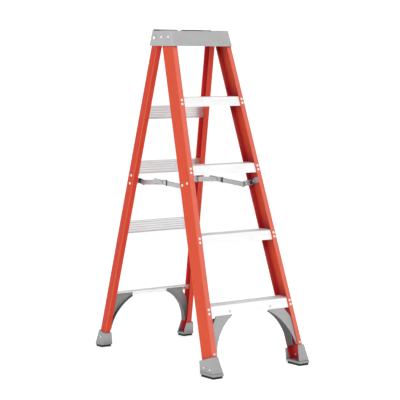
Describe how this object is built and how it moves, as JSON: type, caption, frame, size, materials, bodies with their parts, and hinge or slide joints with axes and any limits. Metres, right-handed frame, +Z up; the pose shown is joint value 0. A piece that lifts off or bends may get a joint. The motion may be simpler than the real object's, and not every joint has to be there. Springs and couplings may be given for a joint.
{
  "type": "step ladder",
  "caption": "Folding A-frame step ladder with fibreglass channel rails, grooved aluminium steps, a moulded top cap, braced rear legs, folding spreaders and rubber-soled shoes.",
  "frame": {"origin": "centre of the footprint on the floor", "axes": "+Z up, steps face -Y, +X to the right seen from the front"},
  "size_m": [0.539, 0.896, 1.4612],
  "materials": {
    "fibreglass": "pultruded fibreglass with a satin gloss",
    "step_aluminium": "mill finish extrusion",
    "moulded_grey": "moulded grain",
    "pad_rubber": "matt",
    "stop_black": "matt",
    "rivet_aluminium": "plain",
    "zinc_steel": "zinc plated"
  },
  "bodies": {
    "front_section": {"front_rail_left": "fibreglass", "front_rail_right": "fibreglass", "step_1": "step_aluminium", "step_2": "step_aluminium", "step_3": "step_aluminium", "step_4": "step_aluminium", "top_cap": "moulded_grey", "cap_rivets": "rivet_aluminium", "hinge_pin_left": "zinc_steel", "hinge_pin_right": "zinc_steel", "front_gusset_left": "moulded_grey", "front_gusset_right": "moulded_grey", "front_shoe_left": "moulded_grey", "front_shoe_right": "moulded_grey", "front_pad_left": "pad_rubber", "front_pad_right": "pad_rubber", "front_bracket_left": "zinc_steel", "front_bracket_right": "zinc_steel", "front_pivot_left": "zinc_steel", "front_pivot_right": "zinc_steel", "step_rivets": "rivet_aluminium", "front_gusset_rivets": "rivet_aluminium", "front_shoe_rivets": "rivet_aluminium", "bracket_rivets_front": "rivet_aluminium"},
    "rear_section": {"rear_rail_left": "fibreglass", "rear_rail_right": "fibreglass", "rear_brace_1": "step_aluminium", "rear_brace_2": "step_aluminium", "rear_brace_3": "step_aluminium", "rear_brace_4": "step_aluminium", "rear_gusset_left": "moulded_grey", "rear_gusset_right": "moulded_grey", "rear_shoe_left": "moulded_grey", "rear_shoe_right": "moulded_grey", "rear_pad_left": "pad_rubber", "rear_pad_right": "pad_rubber", "rear_bracket_left": "zinc_steel", "rear_bracket_right": "zinc_steel", "rear_pivot_left": "zinc_steel", "rear_pivot_right": "zinc_steel", "brace_rivets": "rivet_aluminium", "rear_gusset_rivets": "rivet_aluminium", "rear_shoe_rivets": "rivet_aluminium", "bracket_rivets_rear": "rivet_aluminium"},
    "front_arm_left": {"spreader_front_arm_left": "zinc_steel", "spreader_stop_left": "stop_black", "middle_rivet_front_left": "zinc_steel"},
    "rear_arm_left": {"spreader_rear_arm_left": "zinc_steel", "middle_rivet_rear_left": "zinc_steel"},
    "front_arm_right": {"spreader_front_arm_right": "zinc_steel", "spreader_stop_right": "stop_black", "middle_rivet_front_right": "zinc_steel"},
    "rear_arm_right": {"spreader_rear_arm_right": "zinc_steel", "middle_rivet_rear_right": "zinc_steel"}
  },
  "joints": [
    {"name": "rear_fold", "type": "hinge", "parent": "front_section", "child": "rear_section", "pos_m": [0, 0.132, 1.424], "axis": [-1, 0, 0], "range_deg": [0, 27]},
    {"name": "front_arm_swing_left", "type": "hinge", "parent": "front_section", "child": "front_arm_left", "pos_m": [-0.1572, -0.1054, 0.776], "axis": [1, 0, 0], "range_deg": [0, 66.93]},
    {"name": "rear_arm_swing_left", "type": "hinge", "parent": "rear_section", "child": "rear_arm_left", "pos_m": [-0.1539, 0.233, 0.7735], "axis": [-1, 0, 0], "range_deg": [0, 70.33]},
    {"name": "front_arm_swing_right", "type": "hinge", "parent": "front_section", "child": "front_arm_right", "pos_m": [0.1572, -0.1054, 0.776], "axis": [1, 0, 0], "range_deg": [0, 66.93]},
    {"name": "rear_arm_swing_right", "type": "hinge", "parent": "rear_section", "child": "rear_arm_right", "pos_m": [0.1539, 0.233, 0.7735], "axis": [-1, 0, 0], "range_deg": [0, 70.33]}
  ],
  "couplings": [
    {"joint": "front_arm_swing_left", "follows": "rear_fold", "ratio": 2.4788},
    {"joint": "rear_arm_swing_left", "follows": "rear_fold", "ratio": 2.6049},
    {"joint": "front_arm_swing_right", "follows": "rear_fold", "ratio": 2.4788},
    {"joint": "rear_arm_swing_right", "follows": "rear_fold", "ratio": 2.6049}
  ]
}
